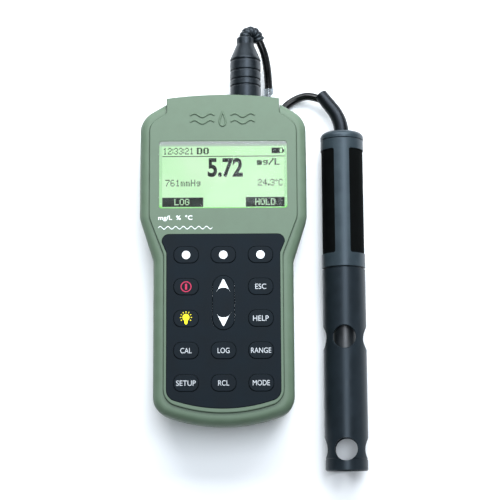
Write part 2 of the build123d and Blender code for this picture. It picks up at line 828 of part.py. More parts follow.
with BuildPart() as cable_marker:
    with BuildSketch(Plane(origin=marker_start, z_dir=cable_route[4] - cable_route[3])):
        Circle(marker_radius)
        Circle(marker_bore, mode=Mode.SUBTRACT)
    extrude(amount=marker_length)
finish(cable_marker, "cable_marker")

# ---------------------------------------------------------------- probe
cap_low_y = 70.2
cap_plug_y = 62.0
handle_bore = 9.4
shaft_top_y = 12.0
spigot_radius = 10.15
spigot_end_y = -15.0
grip_floor = 11.0
grip_radius = 11.75
grip_span = 139.0
grip_corner = 1.2
hole_chamfer = 0.4
shaft_end_y = -80.0
membrane_cap_end_y = -96.5
membrane_cap_radius = 8.0
probe_plane = Plane(origin=(probe_x, 0, probe_z), x_dir=(1, 0, 0), z_dir=(0, 0, 1))


def turned(points):
    """Solid of revolution about the probe's axis from (radius, y) points."""
    with BuildPart() as solid:
        with BuildSketch(probe_plane):
            with BuildLine():
                Polyline(*points, close=True)
            make_face()
        revolve(axis=probe_axis)
    return solid.part


def radial_distance(point):
    """Distance of a point from the probe's axis."""
    return ((point.X - probe_x) ** 2 + (point.Z - probe_z) ** 2) ** 0.5


def grip_sector(inner, outer, low_y, high_y):
    """Two curved panels, one each side of the probe, between two radii."""
    side = 40
    gap = (180 - grip_span) / 2
    with BuildPart() as panels:
        with BuildSketch(Plane.XZ.offset(-low_y)):
            with Locations((probe_x, probe_z)):
                Circle(outer)
                Circle(inner, mode=Mode.SUBTRACT)
            for turn in (probe_roll, probe_roll + 180):
                reach = Vector(side, side * tan(radians(gap))).rotate(Axis.Z, turn + 90)
                back = Vector(side, -side * tan(radians(gap))).rotate(Axis.Z, turn + 90)
                with BuildLine():
                    Polyline((probe_x, probe_z), (probe_x + reach.X, probe_z + reach.Y),
                             (probe_x + back.X, probe_z + back.Y), close=True)
                make_face(mode=Mode.SUBTRACT)
        extrude(amount=low_y - high_y)
        corners = panels.edges().filter_by(
            lambda edge: edge.geom_type == GeomType.LINE and edge.length < 2 * (outer - inner))
        fillet(corners, radius=grip_corner)
    return panels.part


with BuildPart() as probe_top_cap:
    add(turned([(0, cap_plug_y), (handle_bore - 0.05, cap_plug_y), (handle_bore - 0.05, cap_low_y),
                (cap_radius, cap_low_y), (cap_radius, probe_top_y), (boot_root_radius + 1, probe_top_y),
                (boot_root_radius + 1, probe_top_y - 0.5), (0, probe_top_y - 0.5)]))
    rim = probe_top_cap.edges().filter_by(GeomType.CIRCLE).filter_by(
        lambda edge: abs(edge.radius - cap_radius) < 0.01).sort_by(Axis.Y)
    fillet(rim[-1], radius=3.2)
    fillet(probe_top_cap.edges().filter_by(GeomType.CIRCLE).filter_by(
        lambda edge: abs(edge.radius - cap_radius) < 0.01).sort_by(Axis.Y)[0], radius=0.5)
finish(probe_top_cap, "probe_top_cap")

with BuildPart() as probe_handle:
    add(turned([(handle_bore, cap_low_y - 0.1), (handle_radius, cap_low_y - 0.1),
                (handle_radius, joint_y + 1.0), (spigot_radius, joint_y + 1.0),
                (spigot_radius, spigot_end_y + 4), (spigot_radius - 1, spigot_end_y + 4),
                (spigot_radius - 1, spigot_end_y + 2.2), (spigot_radius, spigot_end_y + 2.2),
                (spigot_radius, spigot_end_y), (shaft_radius + 0.03, spigot_end_y),
                (shaft_radius + 0.03, shaft_top_y + 0.05), (handle_bore, shaft_top_y + 0.05)]))
    fillet(probe_handle.edges().filter_by(GeomType.CIRCLE).filter_by(
        lambda edge: abs(edge.radius - handle_radius) < 0.01), radius=0.5)
    add(grip_sector(grip_floor, handle_radius + 1, grip_low_y, grip_top_y), mode=Mode.SUBTRACT)
finish(probe_handle, "probe_handle")

with BuildPart() as probe_grips:
    add(grip_sector(grip_floor + 0.02, grip_radius, grip_low_y + 0.1, grip_top_y - 0.1))
finish(probe_grips, "probe_grips")

with BuildPart() as handle_seal:
    add(turned([(spigot_radius - 0.98, spigot_end_y + 2.3), (spigot_radius + 0.08, spigot_end_y + 2.3),
                (spigot_radius + 0.08, spigot_end_y + 3.9), (spigot_radius - 0.98, spigot_end_y + 3.9)]))
    fillet(handle_seal.edges().filter_by(GeomType.CIRCLE), radius=0.4)
finish(handle_seal, "handle_seal")

with BuildPart() as protective_sleeve:
    add(turned([(sleeve_bore, joint_y), (sleeve_radius, joint_y), (sleeve_radius, probe_end_y + 7),
                (sleeve_radius - 0.3, probe_end_y + 6.5), (sleeve_radius - 0.3, probe_end_y),
                (sleeve_bore, probe_end_y)]))
    chamfer(protective_sleeve.faces().sort_by(Axis.Y)[0].edges(), length=0.6)
    for hole_y in hole_ys:
        for turn in (0, 90):
            across = Plane(origin=(probe_x, hole_y, probe_z),
                           z_dir=(-sin(radians(probe_roll + turn)), 0, cos(radians(probe_roll + turn))))
            with BuildSketch(across):
                Circle(hole_radius)
            extrude(amount=sleeve_radius + 2, both=True, mode=Mode.SUBTRACT)
    rims = protective_sleeve.edges().filter_by(
        lambda edge: abs(edge.center().Y - hole_ys[0]) < 0.1
        and all(abs(radial_distance(edge @ share) - sleeve_radius) < 0.01 for share in (0.0, 0.3, 0.7)))
    chamfer(rims, length=hole_chamfer)
finish(protective_sleeve, "protective_sleeve")

with BuildPart() as probe_shaft:
    add(turned([(0, shaft_top_y), (shaft_radius, shaft_top_y), (shaft_radius, shaft_end_y + 6),
                (6.4, shaft_end_y + 6), (6.4, shaft_end_y - 5), (4.2, shaft_end_y - 5),
                (4.2, membrane_cap_end_y + 2.6), (0, membrane_cap_end_y + 2.6)]))
    with Locations((probe_x, shaft_end_y + 26, probe_z + shaft_radius)):
        Box(4.2, 9.0, 4.2, mode=Mode.SUBTRACT)
finish(probe_shaft, "probe_shaft")

with BuildPart() as temperature_sensor:
    with BuildSketch(Plane(origin=(probe_x, shaft_end_y + 30.4, probe_z + shaft_radius - 0.9),
                           z_dir=(0, -1, 0))):
        Circle(1.15)
    extrude(amount=8.8)
    fillet(temperature_sensor.faces().sort_by(Axis.Y)[0].edges(), radius=1.0)
finish(temperature_sensor, "temperature_sensor")

with BuildPart() as membrane_cap:
    add(turned([(6.45, shaft_end_y + 5.8), (membrane_cap_radius, shaft_end_y + 5.8),
                (membrane_cap_radius, membrane_cap_end_y + 1.5),
                (membrane_cap_radius - 1.5, membrane_cap_end_y),
                (4.6, membrane_cap_end_y), (4.6, membrane_cap_end_y + 0.4), (5.0, membrane_cap_end_y + 0.4),
                (5.0, shaft_end_y - 5.2), (6.45, shaft_end_y - 5.2)]))
    for turn in range(12):
        rib_heading = radians(30 * turn)
        with Locations((probe_x + membrane_cap_radius * cos(rib_heading), shaft_end_y + 0.5,
                        probe_z + membrane_cap_radius * sin(rib_heading))):
            Cylinder(0.5, 9.0, rotation=(90, 0, 0), mode=Mode.SUBTRACT)
finish(membrane_cap, "membrane_cap")

with BuildPart() as membrane:
    add(turned([(0, membrane_cap_end_y + 0.4), (4.95, membrane_cap_end_y + 0.4),
                (4.95, membrane_cap_end_y + 0.8), (0, membrane_cap_end_y + 0.8)]))
finish(membrane, "membrane")

with BuildPart() as anode:
    add(turned([(4.22, membrane_cap_end_y + 3.2), (4.6, membrane_cap_end_y + 3.2),
                (4.6, shaft_end_y - 5.8), (4.22, shaft_end_y - 5.8)]))
finish(anode, "anode")

with BuildPart() as cathode:
    add(turned([(0, membrane_cap_end_y + 1.3), (1.8, membrane_cap_end_y + 1.3),
                (1.8, membrane_cap_end_y + 2.6), (0, membrane_cap_end_y + 2.6)]))
finish(cathode, "cathode")
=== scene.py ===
from math import cos, pi, radians, sin

import bmesh
import bpy
from mathutils import Matrix, Vector
from mathutils.bvhtree import BVHTree


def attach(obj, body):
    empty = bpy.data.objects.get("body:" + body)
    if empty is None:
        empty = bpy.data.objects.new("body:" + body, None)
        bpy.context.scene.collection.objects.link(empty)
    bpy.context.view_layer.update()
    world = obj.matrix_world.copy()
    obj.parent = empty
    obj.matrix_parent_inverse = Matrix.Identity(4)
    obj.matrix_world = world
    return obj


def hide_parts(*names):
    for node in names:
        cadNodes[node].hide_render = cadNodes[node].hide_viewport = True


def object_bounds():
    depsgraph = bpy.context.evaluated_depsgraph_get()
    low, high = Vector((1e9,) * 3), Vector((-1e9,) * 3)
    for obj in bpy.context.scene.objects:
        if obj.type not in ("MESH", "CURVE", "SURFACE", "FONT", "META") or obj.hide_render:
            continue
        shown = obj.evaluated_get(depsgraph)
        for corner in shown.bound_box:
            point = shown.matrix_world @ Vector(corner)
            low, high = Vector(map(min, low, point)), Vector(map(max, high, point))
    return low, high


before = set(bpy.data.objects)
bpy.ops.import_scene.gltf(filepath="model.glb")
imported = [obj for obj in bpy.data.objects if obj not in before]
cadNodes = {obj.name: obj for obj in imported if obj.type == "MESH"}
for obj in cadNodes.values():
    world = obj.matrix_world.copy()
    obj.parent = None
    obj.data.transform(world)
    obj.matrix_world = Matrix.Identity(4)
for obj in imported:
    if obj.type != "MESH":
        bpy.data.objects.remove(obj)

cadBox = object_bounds()
mm = 0.001
print("frame loaded:", len(cadNodes), "nodes")

# camera, a long lens looking down from the user's side
cameraSetup = {"place": (14.75, -130.7, 851.1), "tilt": 9.36, "roll": -0.338, "lens": 108.0, "sensor": 36.0}
cameraData = bpy.data.cameras.new("benchCamera")
cameraData.lens = cameraSetup["lens"]
cameraData.sensor_width = cameraSetup["sensor"]
camera = bpy.data.objects.new("benchCamera", cameraData)
bpy.context.scene.collection.objects.link(camera)
camera.matrix_world = (Matrix.Translation(Vector(cameraSetup["place"]) * mm)
                       @ Matrix.Rotation(radians(cameraSetup["tilt"]), 4, "X")
                       @ Matrix.Rotation(radians(cameraSetup["roll"]), 4, "Z"))
bpy.context.scene.camera = camera
bpy.context.scene.view_settings.view_transform = "Standard"
print("camera placed")


# small helpers
def toLinear(hexColour):
    channels = [int(hexColour[i:i + 2], 16) / 255 for i in (0, 2, 4)]
    return (*[c / 12.92 if c <= 0.04045 else ((c + 0.055) / 1.055) ** 2.4 for c in channels], 1.0)


def addNode(tree, kind, settings=None, links=None):
    node = tree.nodes.new(kind)
    for name, value in (settings or {}).items():
        if name == "stops":  # colour ramp stops as (place, hex) pairs
            ramp = node.color_ramp
            while len(ramp.elements) < len(value):
                ramp.elements.new(1.0)
            for element, (place, hexColour) in zip(ramp.elements, value):
                element.position = place
                element.color = toLinear(hexColour)
        elif name in node.inputs:
            node.inputs[name].default_value = value
        else:
            setattr(node, name, value)
    for name, source in (links or {}).items():
        tree.links.new(source, node.inputs[name])
    return node


def addPiece(name, data, body, finish):
    piece = bpy.data.objects.new(name, data)
    bpy.context.scene.collection.objects.link(piece)
    data.materials.clear()
    data.materials.append(finish)
    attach(piece, body)
    return piece


def surfaceOf(nodeName):
    mesh = cadNodes[nodeName].data
    return BVHTree.FromPolygons([v.co[:] for v in mesh.vertices], [p.vertices[:] for p in mesh.polygons])


def heightOn(tree, x, y):
    found = tree.ray_cast(Vector((x, y, 1.0)), Vector((0, 0, -1)))
    return found[0].z


# finishes
mottleSpread = (0.30, 0.70)  # part of the noise that the colour and the sheen run over


def makeFinish(name, look):
    # mottled colour, grain as bump and an uneven sheen, all at real sizes given in millimetres
    mottleLow, mottleHigh = mottleSpread
    material = bpy.data.materials.new(name)
    material.use_nodes = True
    tree = material.node_tree
    tree.nodes.clear()
    place = addNode(tree, "ShaderNodeTexCoord").outputs["Object"]
    mottle = addNode(tree, "ShaderNodeTexNoise", {"Scale": 1 / (look["mottle"] * mm), "Detail": 3.0},
                     {"Vector": place})
    tint = addNode(tree, "ShaderNodeValToRGB",
                   {"stops": [(mottleLow, look["deep"]), (mottleHigh, look["colour"])]},
                   {"Fac": mottle.outputs["Fac"]})
    grain = addNode(tree, "ShaderNodeTexNoise", {"Scale": 1 / (look["grain"] * mm), "Detail": 2.0},
                    {"Vector": place})
    sheen = addNode(tree, "ShaderNodeMapRange",
                    {"From Min": mottleLow, "From Max": mottleHigh, "To Min": look["rough"][0],
                     "To Max": look["rough"][1]},
                    {"Value": mottle.outputs["Fac"]})
    bump = addNode(tree, "ShaderNodeBump", {"Strength": look.get("bump", 0.4),
                                            "Distance": look["depth"] * mm},
                   {"Height": grain.outputs["Fac"]})
    shader = addNode(tree, "ShaderNodeBsdfPrincipled", look.get("shader"),
                     {"Base Color": tint.outputs["Color"], "Roughness": sheen.outputs["Result"],
                      "Normal": bump.outputs["Normal"]})
    if "glow" in look:  # lit from inside: the tint is the light, and the body under it stays dark
        tree.links.remove(shader.inputs["Base Color"].links[0])
        shader.inputs["Base Color"].default_value = toLinear(look["body"])
        tree.links.new(tint.outputs["Color"], shader.inputs["Emission Color"])
        shader.inputs["Emission Strength"].default_value = look["glow"]
    if "bands" in look:  # the lamp feeds the guide unevenly from edge to edge, along y in millimetres
        low, high, stops = look["bands"]
        split = addNode(tree, "ShaderNodeSeparateXYZ", {}, {"Vector": place})
        along = addNode(tree, "ShaderNodeMapRange", {"From Min": low * mm, "From Max": high * mm},
                        {"Value": split.outputs["Y"]})
        bands = addNode(tree, "ShaderNodeValToRGB", {"stops": stops}, {"Fac": along.outputs["Result"]})
        tree.links.new(bands.outputs["Color"], shader.inputs["Emission Color"])
    addNode(tree, "ShaderNodeOutputMaterial", {}, {"Surface": shader.outputs["BSDF"]})
    return material


finishes = {
    # ABS moulded against a spark-eroded tool: matt sage with a fine pebble that softens every highlight
    "case_plastic": makeFinish("mouldedAbs", {
        "colour": "596C59", "deep": "536652", "mottle": 9.0, "grain": 1.1, "depth": 0.05, "rough": (0.50,
                                                                                                    0.60),
        "shader": {"IOR": 1.54, "Specular IOR Level": 0.35}}),
    # nitrile cord, cut and laid in a groove: dull black with a faint bloom
    "seal_rubber": makeFinish("nitrileSeal", {
        "colour": "16181A", "deep": "0E1011", "mottle": 3.0, "grain": 0.5, "depth": 0.03, "rough": (0.55,
                                                                                                    0.72),
        "shader": {"IOR": 1.52, "Specular IOR Level": 0.3}}),
    # thermoplastic rubber, moulded: soft charcoal flap with a dry sheen
    "cover_rubber": makeFinish("mouldedElastomer", {
        "colour": "1D2326", "deep": "161B1E", "mottle": 4.0, "grain": 0.8, "depth": 0.04, "rough": (0.55,
                                                                                                    0.68),
        "shader": {"IOR": 1.50, "Specular IOR Level": 0.3}}),
    # silicone sheet, compression moulded: blue-black, almost without highlights
    "keypad_silicone": makeFinish("siliconeMat", {
        "colour": "151D23", "deep": "11181D", "mottle": 12.0, "grain": 1.2, "depth": 0.05, "rough": (0.62,
                                                                                                     0.74),
        "shader": {"IOR": 1.41, "Specular IOR Level": 0.12}}),
    "key_silicone": makeFinish("siliconeKey", {  # the same compound, worn a little smoother by fingers
        "colour": "151D23", "deep": "11181D", "mottle": 8.0, "grain": 1.2, "depth": 0.04, "rough": (0.60,
                                                                                                    0.70),
        "shader": {"IOR": 1.41, "Specular IOR Level": 0.12}}),
    # solder mask over copper: glossy deep green
    "board_green": makeFinish("solderMask", {
        "colour": "1E6B3C", "deep": "124A2A", "mottle": 2.5, "grain": 1.0, "depth": 0.05, "rough": (0.25,
                                                                                                    0.40),
        "shader": {"IOR": 1.55}}),
    # polyester film, heat formed: milky and smooth
    "dome_film": makeFinish("polyesterFilm", {
        "colour": "D6DBDB", "deep": "C5CCCD", "mottle": 5.0, "grain": 1.5, "depth": 0.02, "rough": (0.22,
                                                                                                    0.34),
        "shader": {"IOR": 1.60}}),
    # shrink wrap on a dry cell: glossy slate blue
    "cell_wrap": makeFinish("shrinkWrap", {
        "colour": "3C5A78", "deep": "32495F", "mottle": 8.0, "grain": 2.0, "depth": 0.03, "rough": (0.20,
                                                                                                    0.32),
        "shader": {"IOR": 1.53}}),
    # black ABS, moulded against a polished tool
    "inner_plastic": makeFinish("mouldedAbsInner", {
        "colour": "23272A", "deep": "1C2022", "mottle": 6.0, "grain": 0.9, "depth": 0.03, "rough": (0.40,
                                                                                                    0.52),
        "shader": {"IOR": 1.54}}),
    # nickel plate over pressed spring steel: bright with a faint yellow cast
    "contact_metal": makeFinish("nickelPlate", {
        "colour": "C9C5B8", "deep": "B4B0A3", "mottle": 2.0, "grain": 0.6, "depth": 0.01, "rough": (0.22,
                                                                                                    0.36),
        "shader": {"Metallic": 1.0}}),
    # zinc-plated steel, cold headed: grey-blue and slightly streaked
    "screw_steel": makeFinish("zincPlatedSteel", {
        "colour": "B9BDC2", "deep": "9DA2A8", "mottle": 1.2, "grain": 0.5, "depth": 0.015, "rough": (0.28,
                                                                                                     0.44),
        "shader": {"Metallic": 1.0}}),
    # glass-filled nylon, moulded: near black and dry
    "connector_plastic": makeFinish("filledNylon", {
        "colour": "1A1C1F", "deep": "131517", "mottle": 1.5, "grain": 0.6, "depth": 0.02, "rough": (0.45,
                                                                                                    0.60),
        "shader": {"IOR": 1.53}}),
    # hard gold over brass, turned: warm and clean
    "pin_gold": makeFinish("goldPlate", {
        "colour": "E0B860", "deep": "CBA24E", "mottle": 1.0, "grain": 0.4, "depth": 0.005, "rough": (0.16,
                                                                                                     0.28),
        "shader": {"Metallic": 1.0}}),
    # plasticised PVC, overmoulded on the plug: satin black with broad grey-blue highlights
    "plug_rubber": makeFinish("overmouldedPvc", {
        "colour": "12171A", "deep": "0E1215", "mottle": 4.0, "grain": 0.9, "depth": 0.03, "rough": (0.30,
                                                                                                    0.38),
        "shader": {"IOR": 1.40, "Specular IOR Level": 0.50, "Specular Tint": toLinear("D4E2F0")}}),
    # extruded PVC jacket: glossy black, a thin line of light along it
    "cable_jacket": makeFinish("extrudedPvc", {
        "colour": "050607", "deep": "030404", "mottle": 6.0, "grain": 1.4, "depth": 0.03, "rough": (0.20,
                                                                                                    0.30),
        "shader": {"IOR": 1.45, "Specular IOR Level": 0.38}}),
    # thermoplastic rubber boot, moulded: black with a soft sheen
    "probe_rubber": makeFinish("mouldedBoot", {
        "colour": "06080A", "deep": "040506", "mottle": 4.0, "grain": 0.9, "depth": 0.03, "rough": (0.32,
                                                                                                    0.40),
        "shader": {"IOR": 1.36, "Specular IOR Level": 0.50, "Specular Tint": toLinear("D4E2F0")}}),
    # PVC tube and caps, turned and satin blasted: black that lifts to slate where the light falls
    "probe_plastic": makeFinish("satinPvc", {
        "colour": "181F24", "deep": "141A1E", "mottle": 7.0, "grain": 1.0, "depth": 0.04, "rough": (0.33,
                                                                                                    0.40),
        "shader": {"IOR": 1.36, "Specular IOR Level": 0.50, "Specular Tint": toLinear("D2E2EE")}}),
    # soft rubber inlay, moulded: swallows the light
    "grip_rubber": makeFinish("gripInlay", {
        "colour": "070909", "deep": "040505", "mottle": 5.0, "grain": 1.0, "depth": 0.05, "rough": (0.75,
                                                                                                    0.88),
        "shader": {"IOR": 1.40, "Specular IOR Level": 0.05}}),
    # glass-filled polymer shaft: dark grey satin
    "shaft_plastic": makeFinish("turnedPolymer", {
        "colour": "1A1F22", "deep": "14181B", "mottle": 5.0, "grain": 0.9, "depth": 0.03, "rough": (0.35,
                                                                                                    0.45),
        "shader": {"IOR": 1.54}}),
    # stainless steel tube, drawn: cool and fine lined
    "sensor_steel": makeFinish("drawnStainless", {
        "colour": "C4C7C9", "deep": "AEB2B5", "mottle": 1.5, "grain": 0.5, "depth": 0.01, "rough": (0.20,
                                                                                                    0.34),
        "shader": {"Metallic": 1.0}}),
    # glossy screw cap over the sensor, moulded
    "cap_plastic": makeFinish("mouldedCap", {
        "colour": "15191C", "deep": "101416", "mottle": 4.0, "grain": 0.9, "depth": 0.03, "rough": (0.30,
                                                                                                    0.42),
        "shader": {"IOR": 1.52}}),
    # stretched fluoropolymer film: glassy pale grey
    "membrane_film": makeFinish("stretchedFilm", {
        "colour": "C9CDCC", "deep": "BBC0C0", "mottle": 2.0, "grain": 1.0, "depth": 0.01, "rough": (0.12,
                                                                                                    0.22),
        "shader": {"IOR": 1.35}}),
    # silver electrode, turned: soft white metal with a tarnish bloom
    "anode_silver": makeFinish("tarnishedSilver", {
        "colour": "D8D6CF", "deep": "B3AFA4", "mottle": 2.0, "grain": 0.5, "depth": 0.01, "rough": (0.25,
                                                                                                    0.45),
        "shader": {"Metallic": 1.0}}),
    # polished gold disc
    "cathode_gold": makeFinish("polishedGold", {
        "colour": "E6BE66", "deep": "D8AE55", "mottle": 0.8, "grain": 0.3, "depth": 0.003, "rough": (0.08,
                                                                                                     0.16),
        "shader": {"Metallic": 1.0}}),
    # cast acrylic with an anti-glare coat, which is why its index is set so low: clear, hardly a reflection
    "window_clear": makeFinish("castAcrylic", {
        "colour": "FBFFFC", "deep": "F7FDF9", "mottle": 20.0, "grain": 6.0, "depth": 0.002, "rough": (0.02,
                                                                                                      0.05),
        "shader": {"IOR": 1.10, "Specular IOR Level": 0.5, "Transmission Weight": 1.0}}),
    # clear shrink sleeve on the lead: milky glass with a wet shine
    "marker_clear": makeFinish("clearSleeve", {
        "colour": "E6EEF2", "deep": "DCE6EC", "mottle": 3.0, "grain": 1.5, "depth": 0.05, "rough": (0.06,
                                                                                                    0.14),
        "shader": {"IOR": 1.48, "Transmission Weight": 0.85}}),
    # backlit liquid crystal cell: even pale green
    "lcd_glass": makeFinish("backlitCell", {
        "colour": "DCFFD8", "deep": "CCFFC8", "mottle": 30.0, "grain": 4.0, "depth": 0.01, "rough": (0.45,
                                                                                                     0.55),
        "glow": 0.96, "body": "101410", "shader": {"IOR": 1.50, "Specular IOR Level": 0.05}}),
    # milky acrylic light guide: glows where the lamp feeds it
    "light_guide": makeFinish("lightGuide", {
        "colour": "B9F2AE", "deep": "A6E69C", "mottle": 25.0, "grain": 2.0, "depth": 0.02, "rough": (0.24,
                                                                                                     0.34),
        "glow": 0.88, "body": "20281F", "shader": {"IOR": 1.49, "Specular IOR Level": 0.3},
        "bands": (26.1, 67.4, [(0.0, "78FF4A"), (0.075, "92F878"), (0.11, "BFF5BC"), (0.90, "C6F2C6"),
                               (0.945, "C3CBCB"), (1.0, "A9ADBC")])}),
}
handleLitCopyFinish = makeFinish("satinPvcHandleLitCopy",
                          {  # painted light: a lighter copy of the probe's satin PVC, raised so the handle, nearer the key light, shows brighter than the guard
    "colour": "2C363B", "deep": "252E33", "mottle": 7.0, "grain": 1.0, "depth": 0.04, "rough": (0.34, 0.40),
    "shader": {"IOR": 1.42, "Specular IOR Level": 0.5, "Specular Tint": toLinear("D2E2EE")}})
# screen-printed inks: flat and slightly chalky, with the edge of the film just catching the light
inkLooks = {
    "whiteInk": {"colour": "F6FAFB", "deep": "E9F0F2"},
    "greyInk": {"colour": "C6CBCE", "deep": "B8BEC2"},
    "crimsonInk": {"colour": "BE2450", "deep": "AD1E46"},
    "yellowInk": {"colour": "FFF21A", "deep": "F4E400"},
    "segmentInk": {"colour": "0C120E", "deep": "090E0B"},
}
inks = {name: makeFinish(name, {**look, "mottle": 1.6, "grain": 0.7, "depth": 0.01, "rough": (0.45, 0.60),
                                "shader": {"IOR": 1.48, "Specular IOR Level": 0.3}})
        for name, look in inkLooks.items()}
inks["paleSegment"] = makeFinish("paleSegment", {
    "colour": "D8FFD2", "deep": "CCF7C6", "mottle": 8.0, "grain": 2.0, "depth": 0.01, "rough": (0.3, 0.4),
    "glow": 0.8, "body": "101410", "shader": {"IOR": 1.50}})
for node in cadNodes.values():
    for place in node.material_slots:
        place.material = finishes[place.material.name]
# painted light: the handle and top cap take the lighter copy of the probe plastic, standing in for the
# brighter light near the top
for nodeName in ("probe_handle", "probe_top_cap"):
    cadNodes[nodeName].material_slots[0].material = handleLitCopyFinish
print("finishes made:", len(finishes) + len(inks))

# the lead, one smooth line from the plug's relief round under the head to the probe's boot
leadSetup = {
    "diameter": 4.6, "length": 192.0,
    "route": [(19.41, 131.80, 16.35), (22.59, 125.74, 14.87), (25.0, 117.5, 11.6), (26.2, 106.0, 6.4),
              (26.4, 93.0, 2.9), (18.2, 82.6, 2.3), (8.6, 75.0, 2.3), (4.1, 64.2, 2.3), (7.5, 52.2, 2.3),
              (18.5, 45.6, 2.3), (31.0, 48.3, 2.3), (38.2, 58.5, 2.3), (36.7, 70.4, 2.3), (31.1, 81.0, 2.3),
              (34.0, 92.6, 2.3), (42.9, 98.6, 3.6), (51.6, 99.2, 7.0), (60.4, 93.9, 9.9)],
}
leadCurve = bpy.data.curves.new("probeLead", "CURVE")
leadCurve.dimensions = "3D"
leadCurve.resolution_u = 12
leadLine = leadCurve.splines.new("NURBS")
leadLine.points.add(len(leadSetup["route"]) - 1)
for point, place in zip(leadLine.points, leadSetup["route"]):
    point.co = (*[c * mm for c in place], 1.0)
leadLine.order_u = 3
leadLine.use_endpoint_u = True
leadCurve.bevel_depth = leadSetup["diameter"] / 2 * mm
leadCurve.bevel_resolution = 8
leadCurve.use_fill_caps = True
lead = addPiece("probeLead", leadCurve, "probe_lead", finishes["cable_jacket"])
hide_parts("probe_cable")
print("lead laid")


# the plug's bent relief: a fat ribbed neck that folds over and hugs the lead
reliefSetup = {"start": (12.65, 129.8, 19.5), "lean": 25.0, "bend": 4.0, "turn": 150.0, "collar": 3.4,
               "core": 3.05, "rib": 3.6, "ribs": 6, "around": 40, "along": 168,
               "fullness": 0.35,  # under 1 gives broad ribs and narrow grooves
               "tip": (0.97, 0.45)}  # share of the length where the tip starts to draw in, and by how much
leanSide = Vector((cos(radians(reliefSetup["lean"])), 0, -sin(radians(reliefSetup["lean"]))))
ahead = Vector((0, 1, 0))
tipStart, tipDrop = reliefSetup["tip"]
bendLength = reliefSetup["bend"] * radians(reliefSetup["turn"])
reliefLength = bendLength + reliefSetup["collar"]
reliefMesh = bmesh.new()
rings = []
for i in range(reliefSetup["along"] + 1):
    share = i / reliefSetup["along"]
    turn = min(share * reliefLength / reliefSetup["bend"], radians(reliefSetup["turn"]))
    centre = (Vector(reliefSetup["start"]) + leanSide * (reliefSetup["bend"] * (1 - cos(turn)))
              + ahead * (reliefSetup["bend"] * sin(turn)))
    heading = leanSide * sin(turn) + ahead * cos(turn)
    centre += heading * max(share * reliefLength - bendLength, 0)
    outward = leanSide * -cos(turn) + ahead * sin(turn)
    upward = heading.cross(outward)
    wave = 0.5 - 0.5 * cos(2 * pi * reliefSetup["ribs"] * share)
    radius = reliefSetup["core"] + (reliefSetup["rib"] - reliefSetup["core"]) * wave ** reliefSetup["fullness"]
    radius -= tipDrop * max(0.0, share - tipStart) / (1 - tipStart)  # the tip draws in to the lead
    rings.append([reliefMesh.verts.new((centre + (outward * cos(a) + upward * sin(a)) * radius) * mm)
                  for a in [2 * pi * k / reliefSetup["around"] for k in range(reliefSetup["around"])]])
for before, after in zip(rings, rings[1:]):
    for k in range(reliefSetup["around"]):
        reliefMesh.faces.new((before[k - 1], before[k], after[k], after[k - 1]))
reliefMesh.faces.new(rings[0][::-1])
reliefMesh.faces.new(rings[-1])
bmesh.ops.recalc_face_normals(reliefMesh, faces=reliefMesh.faces)
for face in reliefMesh.faces:
    face.smooth = len(face.verts) == 4
reliefData = bpy.data.meshes.new("plugRelief")
reliefMesh.to_mesh(reliefData)
reliefMesh.free()
relief = addPiece("plugRelief", reliefData, "probe_lead", finishes["plug_rubber"])
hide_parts("plug_strain_relief")

# small white tag moulded on the clear sleeve
tagSetup = {"middle": (28.0, 98.6, 6.2), "radius": 1.5, "thick": 0.9, "segments": (32, 16)}
tagMesh = bmesh.new()
bmesh.ops.create_uvsphere(tagMesh, u_segments=tagSetup["segments"][0], v_segments=tagSetup["segments"][1],
                          radius=tagSetup["radius"] * mm)
for vertex in tagMesh.verts:  # squeezed to a lens
    vertex.co.z *= tagSetup["thick"] / tagSetup["radius"]
bmesh.ops.translate(tagMesh, vec=Vector(tagSetup["middle"]) * mm, verts=tagMesh.verts)
for face in tagMesh.faces:
    face.smooth = True
tagData = bpy.data.meshes.new("leadTag")
tagMesh.to_mesh(tagData)
tagMesh.free()
addPiece("leadTag", tagData, "probe_lead", inks["whiteInk"])
print("relief and tag made")

# ink: outlines turned to a thin solid film that follows the surface it is printed on
printFilm = {"thick": 0.03, "sunk": 0.02, "weld": 0.002,
             "slab": 0.5}  # half height while flat: only the side of it counts


def inkFilm(name, curve, nodeName, body, ink, film=printFilm["thick"], fit=None):
    holder = bpy.data.objects.new(name, curve)
    bpy.context.scene.collection.objects.link(holder)
    bpy.context.view_layer.update()
    mesh = bpy.data.meshes.new_from_object(holder.evaluated_get(bpy.context.evaluated_depsgraph_get()))
    bpy.data.objects.remove(holder)
    if fit:  # left, right, low and high sides in millimetres
        xs, ys = [v.co.x for v in mesh.vertices], [v.co.y for v in mesh.vertices]
        for vertex in mesh.vertices:
            vertex.co.x = fit[0] + (vertex.co.x - min(xs)) / (max(xs) - min(xs)) * (fit[1] - fit[0])
            vertex.co.y = fit[2] + (vertex.co.y - min(ys)) / (max(ys) - min(ys)) * (fit[3] - fit[2])
    tree = surfaceOf(nodeName)
    for vertex in mesh.vertices:
        x, y = vertex.co.x * mm, vertex.co.y * mm
        lift = film * mm if vertex.co.z > 0 else -printFilm["sunk"] * mm
        vertex.co = (x, y, heightOn(tree, x, y) + lift)
    shape = bmesh.new()
    shape.from_mesh(mesh)
    bmesh.ops.remove_doubles(shape, verts=shape.verts, dist=printFilm["weld"] * mm)
    bmesh.ops.recalc_face_normals(shape, faces=shape.faces)
    shape.to_mesh(mesh)
    shape.free()
    return addPiece(name, mesh, body, ink)


def outlines(name, loops):
    curve = bpy.data.curves.new(name, "CURVE")
    curve.dimensions = "2D"
    curve.fill_mode = "BOTH"
    curve.extrude = printFilm["slab"]
    for loop in loops:
        line = curve.splines.new("POLY")
        line.points.add(len(loop) - 1)
        for point, (x, y) in zip(line.points, loop):
            point.co = (x, y, 0, 1)
        line.use_cyclic_u = True
    return curve


def word(text, bold=0.0):
    curve = bpy.data.curves.new("word", "FONT")
    curve.body = text
    curve.extrude = printFilm["slab"]
    curve.offset = bold
    curve.resolution_u = 6
    return curve


